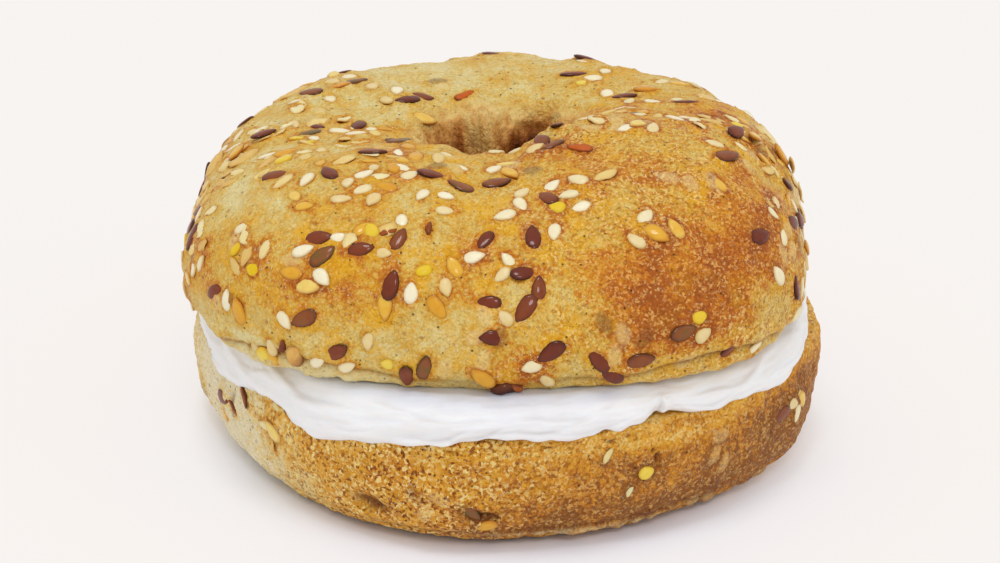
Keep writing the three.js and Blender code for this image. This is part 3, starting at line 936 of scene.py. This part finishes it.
# Bits laid one by one, for each kind: bearing, place, spin in degrees and growth. Some rows add a tint, from
# the first shade at 0 to the last at 1, and a lift out of the dough.
top_bits = {
    "wheat_flake": [
        (267, 2.2, 80, 1.0), (186, 1.65, 30, 1.2), (183, 1.52, 100, 1.1), (175, 1.42, 60, 1.2),
        (359, 1.29, 70, 1.3), (353, 1.2, 120, 1.2), (344, 1.05, 20, 0.9), (6, 1.5, 10, 1.2),
        (20, 1.8, 70, 1.1), (146, 1.7, 20, 1.3), (158, 1.85, 100, 1.1), (303, 1.75, 25, 0.85),
        (330, 2.1, 110, 1.1), (214, 1.72, 60, 1.0), (168, 2.0, 40, 1.2), (0, 1.36, 70, 1.1, 0.9, 0.8),
        (2, 1.2, 30, 1.0, 0.9, 0.6),
    ],
    "bran_sliver": [(307, 1.92, 160, 1.0), (254, 1.6, 80, 0.6), (246, 1.56, 20, 0.6), (110, 2.3, 40, 0.9)],
    "golden_flax": [
        (352, 1.62, 80, 1.0, 0.6, 0.7), (357, 1.45, 20, 1.1, 0.3, 0.7), (347, 1.08, 70, 1.1, 0.4, 0.4),
        (180, 1.6, 60, 1.0, 0.5, 0.5),
    ],
    "brown_flax": [
        (349, 1.7, 60, 1.0, 0.5, 0.6), (345, 1.22, 60, 1.0, 0.4, 0.4), (176, 1.75, 30, 1.0, 0.5, 0.5),
    ],
    "baked_crumb": [
        (271, 0.36, 10, 0.95, 0.95), (273.5, 0.42, 40, 0.5, 0.5), (234, 0.86, 60, 0.9, 0.05),
        (231.5, 0.98, 20, 0.5, 0.6),
    ],
    "sesame": [(238, 0.8, 20, 0.9), (229, 0.86, 80, 0.9), (243, 0.72, 10, 0.9)],
    "maize_grit": [(227, 0.6, 60, 1.2)],
}

top_seeds = scatter(
    top_point, plain_top_relief, first=0.5, last=2.6, lowest=cut_height + 2.2, highest=math.inf, count=320,
    start=23221, cover=top_cover,
)
top_flakes = scatter(
    top_point, plain_top_relief, first=1.2, last=2.1, lowest=cut_height, highest=math.inf, count=84, start=11,
    cover=lambda bearing, place: near(bearing, 190, 36) + near(bearing, 358, 14),
)
for i, flake in enumerate(top_flakes):
    flake.update(kind="golden_flax" if i % 4 == 0 else "wheat_flake", scale=0.85 * flake["scale"])
top_seeds += top_flakes + laid_bits(top_point, plain_top_relief, top_bits)
top_buried = scatter(
    top_point, plain_top_relief, first=0.4, last=2.2, lowest=cut_height + 1.5, highest=math.inf, count=60,
    start=3, cover=lambda bearing, place: 1,
)

bearing, place = ring_grid(top_point, top_rounds, top_stretches)
top_skin, top_normal, _ = on_surface(top_point, top_relief, bearing, place)
top_skin, top_beside, top_showing = press_seeds(top_skin, top_normal, top_seeds, top_buried)
height = top_point(bearing, np.minimum(place, 1))[..., 2] - cut_height
above_fold = height - fold_level(bearing)
# The fold's line is painted darker as shade in its groove, partly the browner crust there.
fold_line = bell(above_fold, 0.2, 0.5) * (place < 1) * (fold_share(bearing) + fold_change(bearing))
pale_lip = (1 - smooth(above_fold, -0.3, 0.1)) * (place < 1)
inside = smooth(place, 2.15, 2.6)
streaks = lumps(drawn_out(top_skin, 1, 0.3), (1, 2.2, 3, 3))
# Painted shade in the hole: darker down the torn wall and most in the clefts at the right and left, less on
# the bulge between.
cleft = near(bearing, 66, 20) + 0.7 * near(bearing, 148, 16) - 0.5 * near(bearing, 104, 12)
torn_shade = (0.44 + 0.5 * cleft) * smooth(place, 2.35, 2.9) * (place < 4)
lower_edge = (1 - smooth(height, 0, 4.5)) * (place < 1)
toast = toasting(top_toast, bearing, place, top_toast_level) - 0.12 * lower_edge
lip_toast = -pale_lip * (0.04 + 0.24 * near(bearing, 232, 22))
wall_toast = 0.4 * smooth(streaks, -0.2, 0.5) * smooth(place, 2.35, 2.75) - 0.3 * near(bearing, 104, 16)
pale_tear = near(bearing, 357, 8) * bell(place, 1.2, 0.12) * smooth(streaks, -0.5, 0.1)
top_piece = ring_piece("top_bread", top_skin, {
    # Inside the hole the toast is set golden, partly the wall's colour and partly painted warm light bounced
    # between the walls.
    "toast": mix(toast, 0.5, inside) + lip_toast + inside * wall_toast,
    "crease": np.clip(0.6 * fold_line + torn_shade, 0, 0.9),
    "pale": 0.35 * pale_lip * near(bearing, 232, 30) + 0.8 * pale_tear,
    "torn": 0.9 * smooth(place, 2.3, 2.55) * (place < 4),
    "crumbly": 0.4 + 0.6 * near(bearing, 314, 36),
    "beside_seed": top_beside * (1 - inside),
    "buried": top_showing * (1 - inside),
}, top_crust)
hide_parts("top_half")
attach(top_piece, "root")


# ---------------------------------------------------------------------------------------------------------
# Seeds, one piece for each kind over both halves: cream sesame, glossy red-brown flax, amber flax, yellow
# maize grit, thin wheat flakes, slivers of bran and crumbs baked dark. Each is a drop, more or less flat,
# pointed and uneven, that lies in its collar of dough.
# ---------------------------------------------------------------------------------------------------------
seed_middle_height = 0.17
height_play = (-0.12, 0.06)
nod_play = (-9, 9)
roll_play = (-12, 12)
bend_size = 2.5
rim_roundness = 0.8


def drop_form(tree, given):
    """A ball drawn out to a drop of the given length, width and thickness, narrower towards its tip."""
    ball = add(tree, "GeometryNodeMeshUVSphere", {"Segments": 12, "Rings": 7, "Radius": 1.0})
    lying = add(tree, "GeometryNodeTransform", {
        "Geometry": ball.outputs["Mesh"], "Rotation": (0, math.pi / 2, 0),
    })
    at = add(tree, "ShaderNodeSeparateXYZ", {0: add(tree, "GeometryNodeInputPosition").outputs[0]}).outputs

    def worked(operation, *values):
        return maths(tree, operation, *values)

    ahead = worked("MAXIMUM", at["X"], 0.0)
    pointed = worked("SUBTRACT", 1.0, worked("MULTIPLY", worked("POWER", ahead, 3.0), given["Tip"]))
    tapered = worked("SUBTRACT", 1.0, worked("MULTIPLY", at["X"], given["Taper"]))
    narrowed = worked("MULTIPLY", tapered, pointed)
    bulge = worked("POWER", worked("ABSOLUTE", at["Z"]), rim_roundness)
    rimmed = worked("MULTIPLY", worked("SIGN", at["Z"]), bulge)
    domed = add(tree, "GeometryNodeStoreNamedAttribute", {
        "Geometry": lying.outputs[0], "Name": "dome", "Value": at["Z"],
    }, data_type="FLOAT", domain="POINT")
    drop = add(tree, "GeometryNodeSetPosition", {
        "Geometry": domed.outputs[0],
        "Position": add(tree, "ShaderNodeCombineXYZ", {
            0: at["X"], 1: worked("MULTIPLY", at["Y"], narrowed), 2: rimmed,
        }).outputs[0],
    })
    size = add(tree, "ShaderNodeCombineXYZ", {0: given["Length"], 1: given["Width"], 2: given["Thickness"]})
    half = vector_maths(tree, "SCALE", {0: size.outputs[0], "Scale": 0.5})
    return add(tree, "GeometryNodeTransform", {"Geometry": drop.outputs[0], "Scale": half}).outputs[0]


def seed_tree():
    """Lays a drop-shaped seed on every point, along the point's own directions."""
    tree = bpy.data.node_groups.new("seeds_on_crust", "GeometryNodeTree")
    tree.interface.new_socket(name="Geometry", in_out="OUTPUT", socket_type="NodeSocketGeometry")
    tree.interface.new_socket(name="Geometry", in_out="INPUT", socket_type="NodeSocketGeometry")
    for name in ("Length", "Width", "Thickness", "Taper", "Tip", "Unevenness"):
        tree.interface.new_socket(name=name, in_out="INPUT", socket_type="NodeSocketFloat")
    tree.interface.new_socket(name="Material", in_out="INPUT", socket_type="NodeSocketMaterial")
    given = add(tree, "NodeGroupInput").outputs

    def of_point(name):
        kept = add(tree, "GeometryNodeInputNamedAttribute", {"Name": name}, data_type="FLOAT_VECTOR")
        return kept.outputs[0]

    lie = add(tree, "FunctionNodeAxesToRotation", {
        "Primary Axis": of_point("face_up"), "Secondary Axis": of_point("long_way"),
    }, primary_axis="Z", secondary_axis="X")
    laid = add(tree, "GeometryNodeInstanceOnPoints", {
        "Points": given["Geometry"], "Instance": drop_form(tree, given),
        "Rotation": lie.outputs[0], "Scale": of_point("growth"),
    })
    real = add(tree, "GeometryNodeRealizeInstances", {0: laid.outputs[0]})
    bend = add(tree, "ShaderNodeTexNoise", {"Scale": 1 / (bend_size * MM), "Detail": 1.0})
    middled = vector_maths(tree, "SUBTRACT", {0: bend.outputs["Color"], 1: (0.5, 0.5, 0.5)})
    moved = vector_maths(tree, "SCALE", {0: middled, "Scale": given["Unevenness"]})
    uneven = add(tree, "GeometryNodeSetPosition", {"Geometry": real.outputs[0], "Offset": moved})
    rounded = add(tree, "GeometryNodeSetShadeSmooth", {0: uneven.outputs[0]})
    coated = {"Geometry": rounded.outputs[0], "Material": given["Material"]}
    done = add(tree, "GeometryNodeSetMaterial", coated)
    add(tree, "NodeGroupOutput", {0: done.outputs[0]})
    return tree


# Each kind's form: how much it tapers, how pointed its tip is and how uneven it is. Its coat: the rim's
# colour, darker partly as the coat's edge and partly as painted shade round the outline, its roughness, gloss
# and glow, and the shades that the seeds draw their tints from.
seed_looks = {
    "sesame": {
        "form": (0.25, 0.5, 0.25), "rim": (204, 168, 98), "roughness": 0.42, "gloss": 0.2, "glow": 0.15,
        "shades": [(0.0, (246, 236, 206)), (0.55, (240, 225, 182)), (1.0, (230, 202, 138))],
    },
    "brown_flax": {
        "form": (0.2, 0.45, 0.3), "rim": (46, 14, 5), "roughness": 0.42, "gloss": 0.5, "glow": 0.0,
        "shades": [(0.0, (102, 34, 12)), (0.5, (126, 54, 20)), (0.85, (140, 78, 34)), (1.0, (110, 86, 32))],
    },
    "golden_flax": {
        "form": (0.2, 0.45, 0.3), "rim": (168, 92, 18), "roughness": 0.38, "gloss": 0.5, "glow": 0.25,
        "shades": [(0.0, (216, 146, 22)), (0.5, (230, 176, 52)), (1.0, (240, 210, 116))],
    },
    "maize_grit": {
        "form": (0.1, 0.1, 0.9), "rim": (214, 164, 24), "roughness": 0.4, "gloss": 0.2, "glow": 0.25,
        "shades": [(0.0, (230, 192, 20)), (1.0, (238, 210, 90))],
    },
    "wheat_flake": {
        "form": (0.0, 0.15, 1.3), "rim": (206, 164, 92), "roughness": 0.42, "gloss": 0.2, "glow": 0.3,
        "shades": [(0.0, (222, 176, 92)), (0.5, (236, 206, 132)), (1.0, (244, 228, 176))],
    },
    "bran_sliver": {
        "form": (0.1, 0.1, 0.9), "rim": (90, 44, 22), "roughness": 0.5, "gloss": 0.15, "glow": 0.1,
        "shades": [(0.0, (96, 50, 26)), (0.5, (150, 76, 34)), (1.0, (200, 96, 32))],
    },
    "baked_crumb": {
        "form": (0.1, 0.1, 2.4), "rim": (110, 56, 26), "roughness": 0.45, "gloss": 0.3, "glow": 0.1,
        "shades": [(0.0, (222, 176, 96)), (0.45, (176, 92, 36)), (0.7, (110, 46, 24)), (1.0, (56, 26, 18))],
    },
}


def seed_coat(kind, look):
    """A smooth seed coat, darker at the rim, partly its own edge and partly painted shade round its outline.
    Each seed draws its own tint between the shades.
    """
    material, tree, shader, place = new_material(kind + "_coat")
    cloud = fine_noise(tree, place, size=1.2, detail=2, shift=1)
    level = sum_of(tree, kept_shade(tree, "tint"), [(cloud, 0.6, 0.5)])
    rim_tone_and_shade = stretched(tree, kept_shade(tree, "dome"), 0.75, 0.1, 0.0, 0.8)
    fill(tree, shader.inputs, {
        "Base Color": layer_over(tree, ramp(tree, level, look["shades"]), colour(*look["rim"]), rim_tone_and_shade),
        "Normal": bumped(tree, fine_noise(tree, place, size=0.5, detail=2, shift=2), 0.06),
        "Roughness": look["roughness"],
        "Specular IOR Level": 0.1,
        "Coat Weight": look["gloss"],
        "Coat Roughness": 0.07,
        "Subsurface Weight": look["glow"],
        "Subsurface Radius": (1.0, 0.7, 0.4),
        "Subsurface Scale": 0.8 * MM,
    })
    return material


def grained_spot(seed, point, relief):
    """Where the skin with all its grain lies under a seed."""
    spot, _, _ = on_surface(point, relief, np.float64(seed["bearing"]), np.float64(seed["place"]))
    return spot


laid_seeds = [(seed, grained_spot(seed, bottom_point, bottom_relief)) for seed in bottom_seeds]
laid_seeds += [(seed, grained_spot(seed, top_point, top_relief)) for seed in top_seeds]
seeding = seed_tree()
tilt_roll = dice(4)
for kind, look in seed_looks.items():
    spots, up_ways, long_ways, growths, tints = [], [], [], [], []
    for seed, spot in laid_seeds:
        if seed["kind"] != kind:
            continue
        long_way, cross_way = lie_of(seed)
        nod = Quaternion(cross_way, math.radians(mix(*nod_play, next(tilt_roll))))
        tilt = nod @ Quaternion(long_way, math.radians(mix(*roll_play, next(tilt_roll))))
        proud = seed_middle_height + seed.get("lifted", 0) + mix(*height_play, next(tilt_roll))
        drawn_tint = next(tilt_roll)
        spots.append(tuple((spot + seed["normal"] * proud) * MM))
        up_ways.append(tilt @ Vector(seed["normal"]))
        long_ways.append(tilt @ Vector(long_way))
        growths.append(Vector((1, 1, 1)) * seed["scale"])
        tints.append(drawn_tint if seed.get("tint") is None else seed["tint"])
    mesh = bpy.data.meshes.new(kind)
    mesh.from_pydata(spots, [], [])
    for name, values in (("face_up", up_ways), ("long_way", long_ways), ("growth", growths)):
        mesh.attributes.new(name, "FLOAT_VECTOR", "POINT").data.foreach_set("vector", np.ravel(values))
    mesh.attributes.new("tint", "FLOAT", "POINT").data.foreach_set("value", tints)
    piece = bpy.data.objects.new(kind + "_seeds", mesh)
    bpy.context.scene.collection.objects.link(piece)
    laying = piece.modifiers.new("seeds", "NODES")
    laying.node_group = seeding
    length, width, thickness = seed_kinds[kind]["size"]
    taper, tip, unevenness = look["form"]
    wanted = {"Length": length * MM, "Width": width * MM, "Thickness": thickness * MM, "Taper": taper,
              "Tip": tip, "Unevenness": unevenness * MM, "Material": seed_coat(kind, look)}
    for item in seeding.interface.items_tree:
        if item.in_out == "INPUT" and item.name in wanted:
            laying[item.identifier] = wanted[item.name]
    bpy.context.view_layer.update()
    finished = bpy.data.meshes.new_from_object(piece.evaluated_get(bpy.context.evaluated_depsgraph_get()))
    piece.modifiers.clear()
    piece.data = finished
    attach(piece, "root")


# ---------------------------------------------------------------------------------------------------------
# Table, light and camera, in metres. A pale seamless table under a broad lamp overhead, one at the front and
# a weak one at the right, and an even white sky. Beyond the bagel's foot the table glows, a painted light
# that keeps the shadow tight to the foot, and next to the foot it is painted cooler so that the shade there
# is grey.
# The camera looks down on the front by 23 degrees through a long lens.
# ---------------------------------------------------------------------------------------------------------
half_table = 4.0
foot_oval = (1.1, 1.0, 1.0)
# The table glows beyond the foot, a painted light that lightens the bagel's shadow away from the foot, and
# near the foot it is painted a cooler white so that the shade there is grey.
glow_from, glow_to = 0.046, 0.056
cool_to, warm_from = 0.052, 0.075
table_glow = 0.62
cool_shade_white = colour(240, 242, 253)
warm_white = colour(246, 242, 239)
lamp_tint = (0.96, 1.0, 1.04)
sky_tint = (1.02, 1.0, 0.98, 1.0)
sky_strength = 0.68

table_mesh = bpy.data.meshes.new("table")
table_corners = [(x * half_table, y * half_table, 0) for x, y in ((-1, -1), (1, -1), (1, 1), (-1, 1))]
table_mesh.from_pydata(table_corners, [], [(0, 1, 2, 3)])
table = bpy.data.objects.new("table", table_mesh)
bpy.context.scene.collection.objects.link(table)
table_paint, tree, shader, place = new_material("table_paint")
widened = vector_maths(tree, "MULTIPLY", {0: place, 1: foot_oval})
from_foot = add(tree, "ShaderNodeVectorMath", {0: widened}, operation="LENGTH").outputs["Value"]
painted_glow = stretched(tree, from_foot, glow_from, glow_to, 0.0, table_glow)
past_foot = stretched(tree, from_foot, cool_to, warm_from)
paint = layer_over(tree, cool_shade_white, warm_white, past_foot)
fill(tree, shader.inputs, {
    "Base Color": layer_over(tree, paint, (0.0, 0.0, 0.0, 1.0), painted_glow),
    "Emission Color": colour(248, 244, 241),
    "Emission Strength": painted_glow,
    "Roughness": 0.9,
    "Specular IOR Level": 0.1,
})
table_mesh.materials.append(table_paint)

sky = bpy.data.worlds.new("sky")
sky.use_nodes = True
backdrop = sky.node_tree.nodes["Background"]
fill(sky.node_tree, backdrop.inputs, {"Color": sky_tint, "Strength": sky_strength})
bpy.context.scene.world = sky


def lamp(name, spot, size, power):
    """A round lamp that faces the bagel."""
    light = bpy.data.lights.new(name, "AREA")
    light.shape = "DISK"
    light.size = size
    light.energy = power
    light.color = lamp_tint
    holder = bpy.data.objects.new(name, light)
    holder.location = spot
    holder.rotation_euler = (-Vector(spot)).to_track_quat("-Z", "Y").to_euler()
    bpy.context.scene.collection.objects.link(holder)


lamp("top_lamp", (-0.4, -0.5, 4.0), size=1.2, power=38)
lamp("front_lamp", (0.3, -2.8, 3.2), size=0.9, power=21)
lamp("right_lamp", (2.6, -1.2, 1.4), size=1.6, power=5)

camera_target = Vector((-0.61, 0.97, 22.79)) * MM
camera_distance = 0.52
camera_lift = math.radians(23)
long_lens = 117.9
lens = bpy.data.cameras.new("camera")
lens.lens = long_lens
lens.sensor_width = 36
lens.clip_start = 0.01
camera = bpy.data.objects.new("camera", lens)
camera.location = camera_target + camera_distance * Vector((0, -math.cos(camera_lift), math.sin(camera_lift)))
camera.rotation_euler = (camera_target - camera.location).to_track_quat("-Z", "Y").to_euler()
bpy.context.scene.collection.objects.link(camera)
bpy.context.scene.camera = camera
bpy.context.scene.view_settings.view_transform = "Standard"
